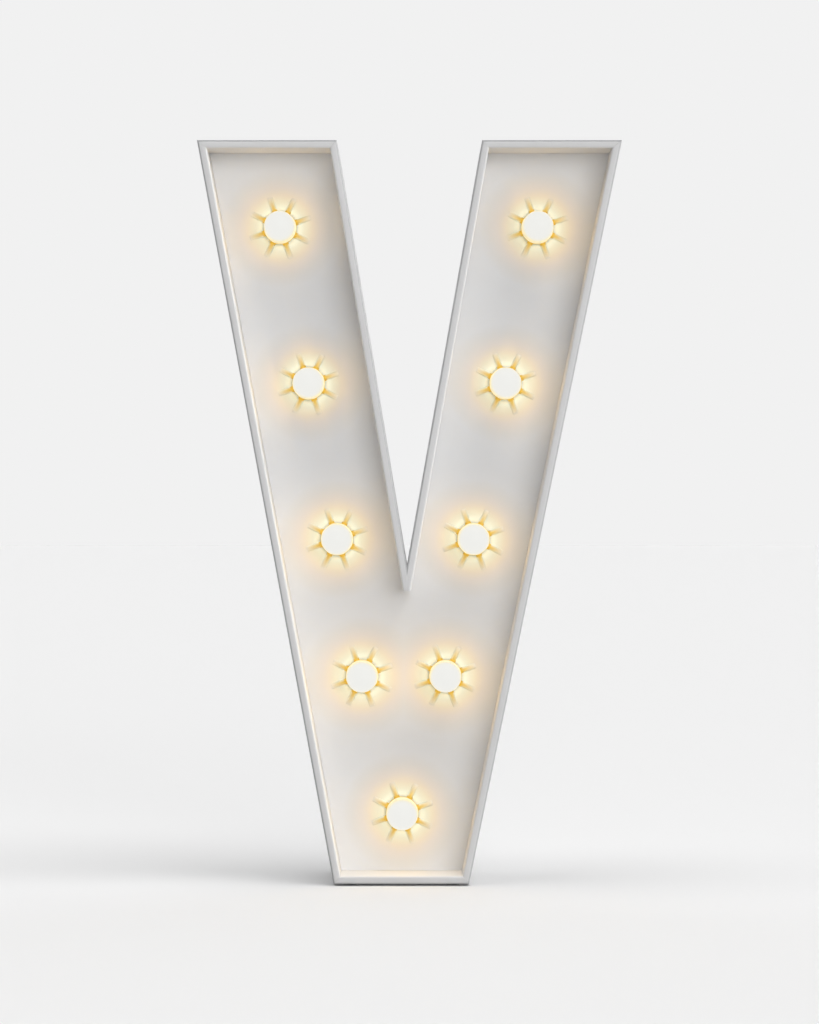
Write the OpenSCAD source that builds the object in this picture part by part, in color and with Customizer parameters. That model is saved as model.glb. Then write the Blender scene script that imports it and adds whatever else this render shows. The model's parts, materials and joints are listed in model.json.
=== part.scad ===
// Free-standing light-up letter V: a tray-shaped casing of painted boards, with nine screw-in globe
// lamps on its recessed face, wired in one chain to a switched mains inlet at the rear.
// +Z is up and the open front faces -Y. The origin is on the floor, under the middle of the box.

/* [Letter] */
// Height of the casing, without its feet
letter_h = 1197; // [1000:1:1400]
// Width across the top of both limbs
letter_w = 684; // [620:1:760]
// Width of each limb across its top
limb_w = 225; // [200:1:240]
// Depth of the notch between the limbs, from the top
notch_depth = 686; // [600:1:720]
// Sideways offset of the notch's point from the middle of the top
notch_offset = -4; // [-15:0.5:15]
// Width of the foot
foot_w = 218; // [200:1:260]
// Sideways offset of the foot from the middle of the top
foot_offset = -13; // [-25:0.5:25]
// Depth of the casing, from the front rim to the rear edge
case_depth = 180; // [165:1:220]

/* [Boards] */
// Thickness of the wall boards
wall_t = 13; // [9:0.5:18]
// Width of the blunt end where the two notch walls meet
nose_w = 13; // [8:0.5:20]
// Depth of the face panel behind the front rim
recess = 70; // [62:1:80]
// Thickness of the face panel
panel_t = 9; // [6:0.5:12]
// Thickness of the back panel
back_t = 6; // [4:0.5:9]
// Distance of the back panel in from the rear edge
back_inset = 10; // [9:0.5:14]
// Width and thickness of the square battens behind both panels
batten = 18; // [15:0.5:22]

/* [Lamps] */
// Depth of the top lamps below the top edge
lamp_drop = 135; // [110:1:160]
// Shift of the top lamps outward from the middle of their limb
lamp_outset = 5; // [0:0.5:10]
// Spacing of the lamp rows down the limbs
limb_pitch = 254; // [220:1:270]
// Distance between the two lamps of the row under the notch
stem_spread = 136; // [110:1:160]
// Height of the bottom lamp above the casing's lower edge
lamp_rise = 107; // [98:1:130]
// Diameter of the globe
globe_d = 50; // [45:0.5:56]
// Thickness of the globe's shell
globe_wall = 1.5; // [1:0.1:2.5]
// Height of the globe's centre above the face panel
globe_lift = 30; // [29:0.5:36]
// Diameter where the globe meets its housing
neck_d = 35; // [31:0.5:38]
// Height that the lamp's housing reaches into its holder
throat_len = 10; // [8:0.5:12]
// Diameter of the screw cap over its thread
cap_d = 26; // [24:0.1:28]
// Length of the threaded part of the cap
cap_len = 21; // [18:0.5:23]
// Pitch of the cap's thread
thread_pitch = 3.6; // [3:0.1:4]
// Depth of the cap's thread
thread_depth = 1; // [0.6:0.1:1.2]
// Diameter of the contact at the tip of the cap
tip_d = 10; // [8:0.5:12]
// Length of the insulator and contact below the thread
tip_len = 4.5; // [3.5:0.5:6]

/* [Lampholders] */
// Outer diameter of the threaded skirt
skirt_d = 39.5; // [37:0.1:42]
// Height of the skirt in front of the face panel
skirt_rise = 7; // [6:0.5:8]
// Diameter of the flange behind the face panel
flange_d = 46; // [44:0.5:52]
// Thickness of the flange
flange_t = 3; // [2:0.5:4]
// Diameter of the holder behind its flange
holder_d = 40; // [38:0.5:42]
// Diameter of the wiring chamber at the rear of the holder
chamber_d = 34; // [30:0.5:38]
// Length of the wiring chamber
chamber_len = 12; // [10:0.5:14]
// Thickness of the floor under the centre contact
floor_t = 5.7; // [4:0.1:7]
// Thickness of the brass screw shell
shell_t = 0.8; // [0.5:0.1:1]
// Diameter of the sprung centre contact
contact_d = 12; // [9:0.5:16]
// Thickness of the sprung centre contact
contact_t = 1.2; // [0.8:0.1:2]

/* [Shade rings] */
// Width of the eight-sided ring across its flats
ring_flats = 53; // [50:0.5:58]
// Thickness of the ring's body
ring_t = 5; // [4:0.5:6]
// Angle of the first corner, from the right
ring_turn = 19; // [0:1:44]
// Distance of a rib's outer end from the lamp's axis
rib_reach = 47; // [38:0.5:52]
// Width of a rib at the ring
rib_w = 8.5; // [6:0.5:10]
// Width of a rib at its outer end
rib_end_w = 7.5; // [5:0.5:9]
// Height of a rib at the ring
rib_h = 9; // [7:0.5:12]
// Height of a rib at its outer end
rib_end_h = 1.2; // [0.8:0.1:3]

/* [Inlet and switch] */
// Height of the inlet and the switch above the base wall
module_rise = 42; // [38:1:50]
// Distance between the middles of the inlet and the switch
module_spacing = 62; // [50:1:80]
// Width of the inlet's flange
inlet_flange_w = 50; // [48:0.5:54]
// Height of the inlet's flange
inlet_flange_h = 24; // [22.5:0.5:30]
// Thickness of the inlet's flange
inlet_flange_t = 3; // [2:0.5:4]
// Distance between the inlet's two screws
inlet_screw_spacing = 40; // [38:0.5:42]
// Diameter of the inlet's screws
inlet_screw_d = 3; // [2.5:0.1:3.5]
// Diameter of the inlet's screw heads
inlet_head_d = 6; // [5.5:0.1:7]
// Width of the inlet's nuts across their corners
nut_d = 6.4; // [5.5:0.1:7]
// Thickness of the inlet's nuts
nut_t = 2.4; // [2:0.1:3]
// Width of the socket's inside
socket_w = 24.6; // [24:0.1:26]
// Height of the socket's inside
socket_h = 16.8; // [16:0.1:18]
// Depth of the socket
socket_depth = 18; // [16:0.5:20]
// Size of the socket's two cut corners
socket_chamfer = 4.5; // [3:0.1:5.5]
// Thickness of the socket's walls
socket_wall = 1.3; // [1:0.1:2]
// Thickness of the socket's floor
socket_floor = 6; // [4:0.5:8]
// Thickness of a contact blade
blade_t = 2; // [1.5:0.1:2.5]
// Width of a contact blade
blade_w = 4; // [3:0.1:5]
// Distance between the two outer blades
blade_spacing = 14; // [12:0.1:16]
// Distance of the middle blade above the outer two
blade_rise = 4; // [3:0.1:5]
// Length of the terminal tabs
tab_len = 8; // [6:0.5:10]
// Width of the switch's bezel
bezel_w = 22; // [21:0.5:24]
// Height of the switch's bezel
bezel_h = 31; // [29.5:0.5:34]
// Thickness of the switch's bezel
bezel_t = 2; // [1.5:0.1:3]
// Depth of the switch's body inside the back panel's outer face
switch_depth = 20; // [18:0.5:24]
// Width of the rocker
rocker_w = 13; // [11:0.5:13.5]
// Radius of the rocker about its pins
rocker_r = 12; // [10:0.5:12.5]
// Tilt of the rocker to each side of level
rocker_tilt = 9; // [6:0.5:10]
// Depth of the rocker's pins under the bezel's face
pivot_depth = 5; // [4:0.5:6]
// Diameter of the rocker's pins
pin_d = 3; // [2:0.1:4]
// Length of the rocker's pins
pin_len = 1.7; // [1:0.1:2]

/* [Feet, screws and wiring] */
// Height of the rubber feet
foot_h = 3; // [2:0.5:8]
// Diameter of the rubber feet
foot_d = 24; // [18:0.5:30]
// Distance of a foot's middle in from the ends and edges of the base
foot_margin = 26; // [20:1:32]
// Diameter of the back panel's screws
screw_d = 4; // [3:0.1:5]
// Length of the back panel's screws under the head
back_screw_len = 20; // [16:0.5:22]
// Diameter of the back panel's screw heads
screw_head_d = 8; // [7:0.1:9]
// Height of the screw heads
screw_head_h = 2.2; // [1.6:0.1:2.8]
// Width of the cross in the screw heads
drive_w = 0.9; // [0.6:0.1:1.4]
// Distance of the cross from the edge of a screw head
drive_margin = 1.5; // [1:0.1:2]
// Diameter of the cable between the lampholders
cable_d = 6.5; // [5:0.1:8]
// Diameter of the leads between the inlet and the switch
lead_d = 3; // [2:0.1:4]
// Straight length of a lead behind the inlet
lead_run = 9; // [7:0.5:12]
// Distance between the two leads where they cross
lead_step = 12; // [8:0.5:14]

/* [Hidden] */
$fn = 64;

// Clearances
panel_gap = 0.2;
fit_gap = 0.3;
pin_gap = 0.1;
thread_gap = 0.15;
screw_gap = 0.05;
strip_gap = 0.5;
cut = 1;

// Planes across the depth, front to rear, and heights
front_y = -case_depth / 2;
rear_y = case_depth / 2;
face_y = front_y + recess;
face_rear_y = face_y + panel_t;
back_y = rear_y - back_inset;
back_front_y = back_y - back_t;
low_z = foot_h;
top_z = foot_h + letter_h;
notch_z = top_z - notch_depth;

// Outline of the letter, anticlockwise from its top left corner as the front shows it
outer = [
    [-letter_w / 2, top_z],
    [foot_offset - foot_w / 2, low_z],
    [foot_offset + foot_w / 2, low_z],
    [letter_w / 2, top_z],
    [letter_w / 2 - limb_w, top_z],
    [notch_offset, notch_z],
    [-letter_w / 2 + limb_w, top_z]
];
corner_count = len(outer);
notch_i = 5;
notch_right = outer[notch_i - 1];
notch_point = outer[notch_i];
notch_left = outer[notch_i + 1];

// Unit normal of the edge from p to q, into the material
function inward(p, q) = [p.y - q.y, q.x - p.x] / norm(q - p);

// Corner i of the outline, moved in by d from both of its edges
function inner(i, d) =
    let (p = outer[(i + corner_count - 1) % corner_count],
         q = outer[i],
         r = outer[(i + 1) % corner_count],
         n = inward(p, q),
         m = inward(q, r))
    q + (n + m) * d / (1 + n * m);

// The point at height z on the line through p and q
function at_height(p, q, z) = p + (q - p) * (z - p.y) / (q.y - p.y);

// Sideways slope of the line through p and q, for each unit of height
function slope(p, q) = (q.x - p.x) / (q.y - p.y);

// Height of the blunt end, where the two notch walls are nose_w wide together
nose_z = inner(notch_i, wall_t).y
    + nose_w / (slope(notch_point, notch_right) - slope(notch_point, notch_left));

// Right (0) or left (1) corner of the blunt end, moved in by d from the outline
function nose(side, d) =
    at_height(inner(notch_i, d), inner(notch_i - 1 + 2 * side, d), nose_z - (d - wall_t));

// The whole outline moved in by d, which is wall_t or more
function inset(d) = [
    inner(0, d), inner(1, d), inner(2, d), inner(3, d), inner(4, d),
    nose(0, d), nose(1, d), inner(6, d)
];

// Sides of the inset outline that carry a wall and a batten, and the back screws along each
side_starts = [0, 1, 2, 3, 4, 6, 7];
side_screws = [4, 2, 4, 2, 3, 3, 2];

// A board of the given outline, from y0 at its front to y1 at its rear
module slab(points, y0, y1) {
    translate([0, y1, 0])
        rotate([90, 0, 0])
            linear_extrude(y1 - y0)
                polygon(points);
}

// Middle of the letter and of each limb at height z
function middle(z) = [foot_offset * (top_z - z) / letter_h, z];
function limb_middle(outside, inside, z) =
    (at_height(outside[0], outside[1], z) + at_height(inside, notch_point, z)) / 2;

// Lamp places: on a straight line down the left limb, at the bottom, and up the right limb
limb_rows = [for (k = [0 : 2]) top_z - lamp_drop - k * limb_pitch];
bottom_row = low_z + lamp_rise;
stem_row = (limb_rows[2] + bottom_row) / 2;
lamp_rows = concat(limb_rows, [stem_row]);
left_top = limb_middle([outer[0], outer[1]], notch_left, limb_rows[0]) - [lamp_outset, 0];
right_top = limb_middle([outer[3], outer[2]], notch_right, limb_rows[0]) + [lamp_outset, 0];
left_stem = middle(stem_row) - [stem_spread / 2, 0];
right_stem = middle(stem_row) + [stem_spread / 2, 0];
lamps = concat(
    [for (z = lamp_rows) at_height(left_top, left_stem, z)],
    [middle(bottom_row)],
    [for (k = [3 : -1 : 0]) at_height(right_top, right_stem, lamp_rows[k])]
);
lamp_count = len(lamps);
bottom_lamp = 4;

// Puts a lamp's pieces at their place: +Z runs forward along the lamp's axis from the face panel
module at_lamp(i) {
    translate([lamps[i].x, face_y, lamps[i].y])
        rotate([90, 0, 0])
            children();
}

// Radii of a lamp and its holder
globe_r = globe_d / 2;
neck_r = neck_d / 2;
cap_r = cap_d / 2;
throat_r = cap_r + screw_gap;
shell_in_r = throat_r + fit_gap;
shell_out_r = shell_in_r + shell_t;
bore_r = shell_out_r + panel_gap;
skirt_r = skirt_d / 2;

// Heights along a lamp's axis, down from the globe to the rear end of the holder
lip_t = 2;
lip_over = 1.2;
cap_edge = 1;
seat_u = globe_lift - sqrt(globe_r * globe_r - neck_r * neck_r);
flare_u = skirt_rise + 2 * fit_gap;
cap_top_u = skirt_rise - throat_len;
cap_end_u = cap_top_u - cap_len;
tip_u = cap_end_u - tip_len;
contact_u = tip_u - fit_gap;
floor_u = contact_u - contact_t - fit_gap;
chamber_u = floor_u - floor_t;
holder_end_u = chamber_u - chamber_len;
cable_y = face_y - chamber_u + chamber_len / 2;
thread_turns = floor((cap_len - 2 * cap_edge) / thread_pitch);

// The inlet and the switch, side by side near the foot of the back panel
module_z = low_z + wall_t + module_rise;
inlet_x = foot_offset - module_spacing / 2;
switch_x = foot_offset + module_spacing / 2;

// Inlet: places along its depth are measured from the back panel's outer face
socket_outer = [socket_w + 2 * socket_wall, socket_h + 2 * socket_wall];
socket_end = inlet_flange_t - socket_depth - socket_floor;
blades = [
    [-blade_spacing / 2, blade_rise / 2],
    [blade_spacing / 2, blade_rise / 2],
    [0, -blade_rise / 2]
];

// Switch: a pocket for the rocker, inside the body
rocker_below = 4;
rocker_mid = 0.8;
body_wall = [2.4, 1.2];
pocket = [rocker_w + 2 * fit_gap, 2 * (rocker_r + fit_gap)];
pocket_depth = pivot_depth + rocker_below + rocker_r * sin(rocker_tilt) + fit_gap;
body = pocket + 2 * body_wall;
tab_t = 0.8;
tab_w = 4.8;
tab_row = 6;
out_tab_x = 2;
in_tab_x = 4.4;
switch_tabs_at = [
    [-out_tab_x, -tab_row], [out_tab_x, -tab_row], [-in_tab_x, tab_row], [in_tab_x, tab_row]
];

// Colours
paint = [0.93, 0.93, 0.92];
pale_wood = [0.80, 0.68, 0.50];
steel = [0.72, 0.72, 0.73];
brass = [0.80, 0.65, 0.32];
nickel = [0.78, 0.76, 0.72];
black = [0.08, 0.08, 0.09];
opal = [1.00, 0.94, 0.80];
amber = [0.90, 0.66, 0.26];
cream = [0.92, 0.90, 0.86];

// Casing

// One wall board, with its ends mitred into its neighbours
module wall(i) {
    next = (i + 1) % corner_count;
    mitre = at_height(notch_point, inner(notch_i, wall_t), nose_z);
    start_face = i == notch_i ? [nose(1, wall_t), mitre] : [inner(i, wall_t)];
    end_face = next == notch_i ? [mitre, nose(0, wall_t)] : [inner(next, wall_t)];
    color(paint)
        slab(concat([outer[i], outer[next]], end_face, start_face), front_y, rear_y);
}

// Recessed face that carries the lampholders
module face_panel() {
    color(paint)
        difference() {
            slab(inset(wall_t + panel_gap), face_y, face_rear_y);
            for (i = [0 : lamp_count - 1])
                at_lamp(i)
                    translate([0, 0, -panel_t - cut])
                        cylinder(r = skirt_r + fit_gap, h = panel_t + 2 * cut);
        }
}

// Removable rear cover, cut out for the inlet and the switch
module back_panel() {
    color(paint)
        difference() {
            slab(inset(wall_t + panel_gap), back_front_y, back_y);
            back_screw_places()
                back_hole(screw_d);
            inlet_screw_places()
                back_hole(inlet_screw_d);
            at_back(inlet_x)
                back_window(socket_outer);
            at_back(switch_x)
                back_window(body);
        }
}

// A round hole for a screw, and a window for a fitting, through the back panel
module back_hole(d) {
    translate([0, 0, -back_t - cut])
        cylinder(d = d + 2 * fit_gap, h = back_t + 2 * cut);
}

module back_window(size) {
    translate([0, 0, -back_t / 2])
        cube([size.x + 2 * fit_gap, size.y + 2 * fit_gap, back_t + 2 * cut], center = true);
}

// One batten along the wall that starts at place k of the inset outline
module strip(k, y0, y1) {
    near = inset(wall_t);
    far = inset(wall_t + batten);
    next = (k + 1) % len(near);
    along = (near[next] - near[k]) / norm(near[next] - near[k]) * strip_gap;
    slab([near[k] + along, near[next] - along, far[next] - along, far[k] + along], y0, y1);
}

module face_battens() {
    color(pale_wood)
        for (k = side_starts)
            strip(k, face_rear_y, face_rear_y + batten);
}

module back_battens() {
    color(pale_wood)
        difference() {
            for (k = side_starts)
                strip(k, back_front_y - batten, back_front_y);
            back_screw_places()
                translate([0, 0, -back_screw_len - screw_gap])
                    cylinder(d = screw_d + 2 * screw_gap, h = back_screw_len);
        }
}

// Back screws, evenly along the middle of each batten: +Z runs rearward from the back panel
module back_screw_places() {
    line = inset(wall_t + batten / 2);
    for (s = [0 : len(side_starts) - 1]) {
        p = line[side_starts[s]];
        q = line[(side_starts[s] + 1) % len(line)];
        for (n = [1 : side_screws[s]]) {
            place = p + (q - p) * (n - 0.5) / side_screws[s];
            translate([place.x, back_y, place.y])
                rotate([-90, 0, 0])
                    children();
        }
    }
}

// A cross-head screw: its head stands on z = 0 and its shank runs down
module screw(shank_d, shank_len, head_d) {
    slot = [head_d - 2 * drive_margin, drive_w];
    translate([0, 0, -shank_len])
        cylinder(d = shank_d, h = shank_len + screw_head_h / 2);
    difference() {
        cylinder(d = head_d, h = screw_head_h);
        for (turn = [0, 90])
            rotate([0, 0, turn])
                translate([-slot.x / 2, -slot.y / 2, screw_head_h / 2])
                    cube([slot.x, slot.y, screw_head_h]);
    }
}

module back_screws() {
    color(steel)
        back_screw_places()
            screw(screw_d, back_screw_len, screw_head_d);
}

// Rubber pads under the base wall
module feet() {
    color(black)
        for (end = [-1, 1], edge = [-1, 1])
            translate([
                foot_offset + end * (foot_w / 2 - foot_margin),
                edge * (case_depth / 2 - foot_margin),
                0
            ])
                cylinder(d = foot_d, h = foot_h);
}

// Lampholders

module lampholders() {
    color(cream)
        for (i = [0 : lamp_count - 1])
            at_lamp(i)
                rotate_extrude()
                    polygon([
                        [bore_r, skirt_rise],
                        [skirt_r, skirt_rise],
                        [skirt_r, -panel_t],
                        [flange_d / 2, -panel_t],
                        [flange_d / 2, -panel_t - flange_t],
                        [holder_d / 2, -panel_t - flange_t],
                        [holder_d / 2, chamber_u],
                        [chamber_d / 2, chamber_u],
                        [chamber_d / 2, holder_end_u],
                        [0, holder_end_u],
                        [0, floor_u],
                        [bore_r, floor_u]
                    ]);
}

// Brass screw shells that the caps turn in
module screw_shells() {
    shell_len = cap_len - cap_edge;
    color(brass)
        for (i = [0 : lamp_count - 1])
            at_lamp(i)
                translate([0, 0, cap_end_u])
                    difference() {
                        cylinder(r = shell_out_r, h = shell_len);
                        translate([0, 0, -cut])
                            cylinder(r = shell_in_r, h = shell_len + 2 * cut);
                    }
}

// Sprung contact on the holder's floor: it follows the lamp's tip as the lamp is unscrewed
module centre_contact(i) {
    color(brass)
        at_lamp(i)
            translate([0, 0, contact_u - contact_t])
                cylinder(d = contact_d, h = contact_t);
}

// Eight-sided rings that clamp the holders to the face panel, with a rib that slopes away at each corner
module shade_rings() {
    sides = 8;
    corner_r = ring_flats / 2 / cos(180 / sides);
    root_r = skirt_r + thread_gap + cut;
    plan = [
        [root_r, rib_w / 2],
        [root_r, -rib_w / 2],
        [rib_reach, -rib_end_w / 2],
        [rib_reach, rib_end_w / 2]
    ];
    side = [
        [root_r, 0],
        [rib_reach, 0],
        [rib_reach, rib_end_h],
        [corner_r, rib_h],
        [root_r, rib_h]
    ];
    color(amber)
        for (i = [0 : lamp_count - 1])
            at_lamp(i)
                rotate([0, 0, ring_turn]) {
                    difference() {
                        cylinder(r = corner_r, h = ring_t, $fn = sides);
                        translate([0, 0, -cut])
                            cylinder(r = skirt_r + thread_gap, h = ring_t + 2 * cut);
                    }
                    for (n = [0 : sides - 1])
                        rotate([0, 0, n * 360 / sides])
                            intersection() {
                                linear_extrude(rib_h)
                                    polygon(plan);
                                translate([0, rib_w, 0])
                                    rotate([90, 0, 0])
                                        linear_extrude(2 * rib_w)
                                            polygon(side);
                            }
                }
}

// Lamps

// Opal globe, open at its neck
module lamp_globe(i) {
    color(opal)
        at_lamp(i)
            rotate_extrude()
                intersection() {
                    translate([0, globe_lift])
                        difference() {
                            circle(globe_r);
                            circle(globe_r - globe_wall);
                        }
                    translate([0, seat_u])
                        square([globe_d, globe_d]);
                }
}

// Housing between the globe and the cap, which also carries the light source
module lamp_housing(i) {
    color(cream)
        at_lamp(i)
            rotate_extrude()
                polygon([
                    [0, seat_u],
                    [neck_r + lip_over, seat_u],
                    [neck_r + lip_over, seat_u - lip_t],
                    [throat_r, flare_u],
                    [throat_r, cap_top_u],
                    [0, cap_top_u]
                ]);
}

// Screw cap with its rolled thread, insulator and tip
module lamp_cap(i) {
    root_r = cap_r - thread_depth;
    thread = [
        for (n = [0 : thread_turns - 1], crest = [1, 0]) [
            root_r + crest * thread_depth,
            cap_top_u - cap_edge - (n + 0.75 - crest / 2) * thread_pitch
        ]
    ];
    color(nickel)
        at_lamp(i)
            rotate_extrude()
                polygon(concat(
                    [[0, cap_top_u], [root_r, cap_top_u]],
                    thread,
                    [
                        [root_r, cap_end_u],
                        [tip_d / 2, tip_u + cap_edge],
                        [tip_d / 2, tip_u],
                        [0, tip_u]
                    ]
                ));
}

// Wiring

// A cable along straight runs, with a ball at each bend and flat ends
module cable(points, d) {
    for (k = [0 : len(points) - 2]) {
        run = points[k + 1] - points[k];
        translate(points[k])
            rotate([0, acos(run.z / norm(run)), atan2(run.y, run.x)])
                cylinder(d = d, h = norm(run));
        if (k > 0)
            translate(points[k])
                sphere(d = d + fit_gap);
    }
}

// The point on the side of holder i that faces p, where a cable meets it
function holder_side(i, p) =
    let (edge = lamps[i] + (p - lamps[i]) / norm(p - lamps[i]) * (chamber_d / 2 + screw_gap))
    [edge.x, cable_y, edge.y];

// One cable from holder to holder, one to the bottom holder, and two leads from inlet to switch
module wiring() {
    switch_end = back_y - switch_depth - tab_len;
    inlet_end = back_y + socket_end - tab_len;
    feed_z = module_z + tab_row;
    color(cream) {
        for (i = [0 : lamp_count - 2])
            cable([holder_side(i, lamps[i + 1]), holder_side(i + 1, lamps[i])], cable_d);
        cable([
            [switch_x, switch_end, feed_z],
            [switch_x, cable_y, feed_z],
            holder_side(bottom_lamp, [switch_x, feed_z])
        ], cable_d);
        for (side = [-1, 1]) {
            lead_y = inlet_end - lead_run - (1 - side) / 2 * lead_step;
            cable([
                [inlet_x + side * blade_spacing / 2, inlet_end, module_z - blade_rise / 2],
                [inlet_x + side * blade_spacing / 2, lead_y, module_z - blade_rise / 2],
                [switch_x - side * in_tab_x, lead_y, module_z - tab_row],
                [switch_x - side * in_tab_x, switch_end, module_z - tab_row]
            ], lead_d);
        }
    }
}

// Inlet and switch

// Puts a rear fitting at its place: +Z runs rearward from the back panel, and +Y runs down
module at_back(x) {
    translate([x, back_y, module_z])
        rotate([-90, 0, 0])
            children();
}

// Outline of the socket's inside, with the two corners cut beside the middle blade
module socket_outline() {
    w = socket_w / 2;
    h = socket_h / 2;
    polygon([
        [-w, h], [w, h], [w, -h + socket_chamfer], [w - socket_chamfer, -h],
        [-w + socket_chamfer, -h], [-w, -h + socket_chamfer]
    ]);
}

module inlet_body() {
    color(black)
        difference() {
            at_back(inlet_x)
                difference() {
                    union() {
                        translate([-inlet_flange_w / 2, -inlet_flange_h / 2, 0])
                            cube([inlet_flange_w, inlet_flange_h, inlet_flange_t]);
                        translate([-socket_outer.x / 2, -socket_outer.y / 2, socket_end])
                            cube([socket_outer.x, socket_outer.y, inlet_flange_t - socket_end]);
                    }
                    translate([0, 0, inlet_flange_t - socket_depth])
                        linear_extrude(socket_depth + cut)
                            socket_outline();
                    for (b = blades)
                        translate([b.x, b.y, socket_end + socket_floor / 2])
                            cube([
                                blade_t + 2 * screw_gap,
                                blade_w + 2 * screw_gap,
                                socket_floor + 2 * cut
                            ], center = true);
                }
            inlet_screw_places()
                translate([0, 0, -cut])
                    cylinder(d = inlet_screw_d + 2 * fit_gap, h = inlet_flange_t + 2 * cut);
        }
}

// Contact blades, which run through the socket's floor to their tabs
module inlet_pins() {
    color(nickel)
        at_back(inlet_x)
            for (b = blades)
                translate([b.x - blade_t / 2, b.y - blade_w / 2, socket_end - tab_len])
                    cube([blade_t, blade_w, tab_len - socket_end]);
}

module inlet_screw_places() {
    for (side = [-1, 1])
        at_back(inlet_x)
            translate([side * inlet_screw_spacing / 2, 0, 0])
                children();
}

module inlet_screws() {
    color(steel)
        inlet_screw_places()
            translate([0, 0, inlet_flange_t])
                screw(inlet_screw_d, inlet_flange_t + back_t + nut_t + cut, inlet_head_d);
}

module inlet_nuts() {
    color(steel)
        inlet_screw_places()
            translate([0, 0, -back_t - nut_t])
                difference() {
                    cylinder(d = nut_d, h = nut_t, $fn = 6);
                    translate([0, 0, -cut])
                        cylinder(d = inlet_screw_d + 2 * screw_gap, h = nut_t + 2 * cut);
                }
}

// Frame of the switch: its bezel lies on the back panel
module switch_body() {
    color(black)
        at_back(switch_x)
            difference() {
                union() {
                    translate([-bezel_w / 2, -bezel_h / 2, 0])
                        cube([bezel_w, bezel_h, bezel_t]);
                    translate([-body.x / 2, -body.y / 2, -switch_depth])
                        cube([body.x, body.y, switch_depth + bezel_t]);
                }
                translate([-pocket.x / 2, -pocket.y / 2, bezel_t - pocket_depth])
                    cube([pocket.x, pocket.y, pocket_depth + cut]);
                translate([0, 0, bezel_t - pivot_depth])
                    rotate([0, 90, 0])
                        cylinder(d = pin_d + 2 * pin_gap, h = pocket.x + 2 * pin_len, center = true);
            }
}

module switch_tabs() {
    color(nickel)
        at_back(switch_x)
            for (place = switch_tabs_at)
                translate([place.x - tab_t / 2, place.y - tab_w / 2, -switch_depth - tab_len])
                    cube([tab_t, tab_w, tab_len]);
}

// Rocker on its two pins, at rest with its upper end pressed in
module switch_rocker() {
    mid = pivot_depth + rocker_mid;
    rise = mid + rocker_r * tan(rocker_tilt);
    color(black)
        translate([switch_x, back_y + bezel_t - pivot_depth, module_z])
            rotate([rocker_tilt, 0, 0])
                rotate([90, 0, 90]) {
                    linear_extrude(rocker_w, center = true)
                        intersection() {
                            circle(rocker_r);
                            polygon([
                                [-rocker_below, -rocker_r],
                                [rise, -rocker_r],
                                [mid, 0],
                                [rise, rocker_r],
                                [-rocker_below, rocker_r]
                            ]);
                        }
                    cylinder(d = pin_d, h = rocker_w + 2 * pin_len, center = true);
                }
}

wall(0);  // wall_outer_left
wall(1);  // wall_base
wall(2);  // wall_outer_right
wall(3);  // wall_top_right
wall(4);  // wall_notch_right
wall(5);  // wall_notch_left
wall(6);  // wall_top_left
face_panel();
back_panel();
face_battens();
back_battens();
back_screws();
feet();
lampholders();
screw_shells();
shade_rings();
wiring();
inlet_body();
inlet_pins();
inlet_screws();
inlet_nuts();
switch_body();
switch_tabs();
switch_rocker();
for (i = [1 : lamp_count]) {
    centre_contact(i - 1);
    lamp_globe(i - 1);
    lamp_housing(i - 1);
    lamp_cap(i - 1);
}
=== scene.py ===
"""Looks of a free-standing light-up letter V.

Painted boards, a glowing face panel, globe lamps with amber shade rings, and the fittings at the rear are modelled
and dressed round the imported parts, in metres, with +Z up and the open front facing -Y.
"""

from __future__ import annotations

import json
import logging
import math
from contextlib import contextmanager
from dataclasses import dataclass
from enum import Enum
from typing import Callable, Iterator, Sequence

import bmesh
import bpy
from mathutils import Matrix, Vector

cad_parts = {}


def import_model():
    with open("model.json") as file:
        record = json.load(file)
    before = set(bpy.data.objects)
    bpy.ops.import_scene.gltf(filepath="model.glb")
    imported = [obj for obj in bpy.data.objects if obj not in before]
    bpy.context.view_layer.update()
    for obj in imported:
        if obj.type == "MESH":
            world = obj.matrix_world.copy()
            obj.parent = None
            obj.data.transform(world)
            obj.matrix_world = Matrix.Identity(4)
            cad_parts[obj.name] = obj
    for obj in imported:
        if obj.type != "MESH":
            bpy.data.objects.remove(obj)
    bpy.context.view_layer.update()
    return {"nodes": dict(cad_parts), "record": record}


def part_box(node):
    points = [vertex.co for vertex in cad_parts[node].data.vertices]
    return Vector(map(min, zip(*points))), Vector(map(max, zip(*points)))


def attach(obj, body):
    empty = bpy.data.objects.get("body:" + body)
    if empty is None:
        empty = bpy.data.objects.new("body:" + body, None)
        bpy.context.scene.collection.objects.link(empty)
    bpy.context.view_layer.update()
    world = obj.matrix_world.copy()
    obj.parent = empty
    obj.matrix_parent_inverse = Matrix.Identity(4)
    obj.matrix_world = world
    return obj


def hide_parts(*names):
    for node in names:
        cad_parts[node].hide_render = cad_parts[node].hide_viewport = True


Socket = bpy.types.NodeSocket
Material = bpy.types.Material
Piece = bpy.types.Object
Colour = tuple[float, float, float]
Point = tuple[float, float, float]
Pair = tuple[float, float]
Stop = tuple[float, Colour]
EdgeTest = Callable[[Vector, Vector], bool]

LOG = logging.getLogger("letter")
CASING = "casing"
ROCKER = "rocker"
# Names the attribute that marks the boards' rounded outer front edges for painted shade.
EDGE = "edge"
FADE = "fade"
LEVEL = (0.0, 0.0, 0.0)
ALONG_X = (0.0, math.pi / 2, 0.0)
ALONG_Y = (math.pi / 2, 0.0, 0.0)
FULL = (1.0, 1.0, 1.0)
NOISE_SPAN = (0.3, 0.7)
NEAR = 1e-5
CLOSE = 1e-6
FACING = 0.99


class Slot(Enum):
    """The record's material slots, one for each kind of new piece."""

    BOARD = "painted_board"
    GLOBE = "opal_globe"
    RING = "amber_plastic"
    RUBBER = "rubber"
    STEEL = "steel"
    BLACK = "black_plastic"
    NICKEL = "nickel"
    WHITE = "lamp_plastic"


class Cut(Enum):
    """Ways to combine two solids."""

    UNION = "UNION"
    DIFFERENCE = "DIFFERENCE"


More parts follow.
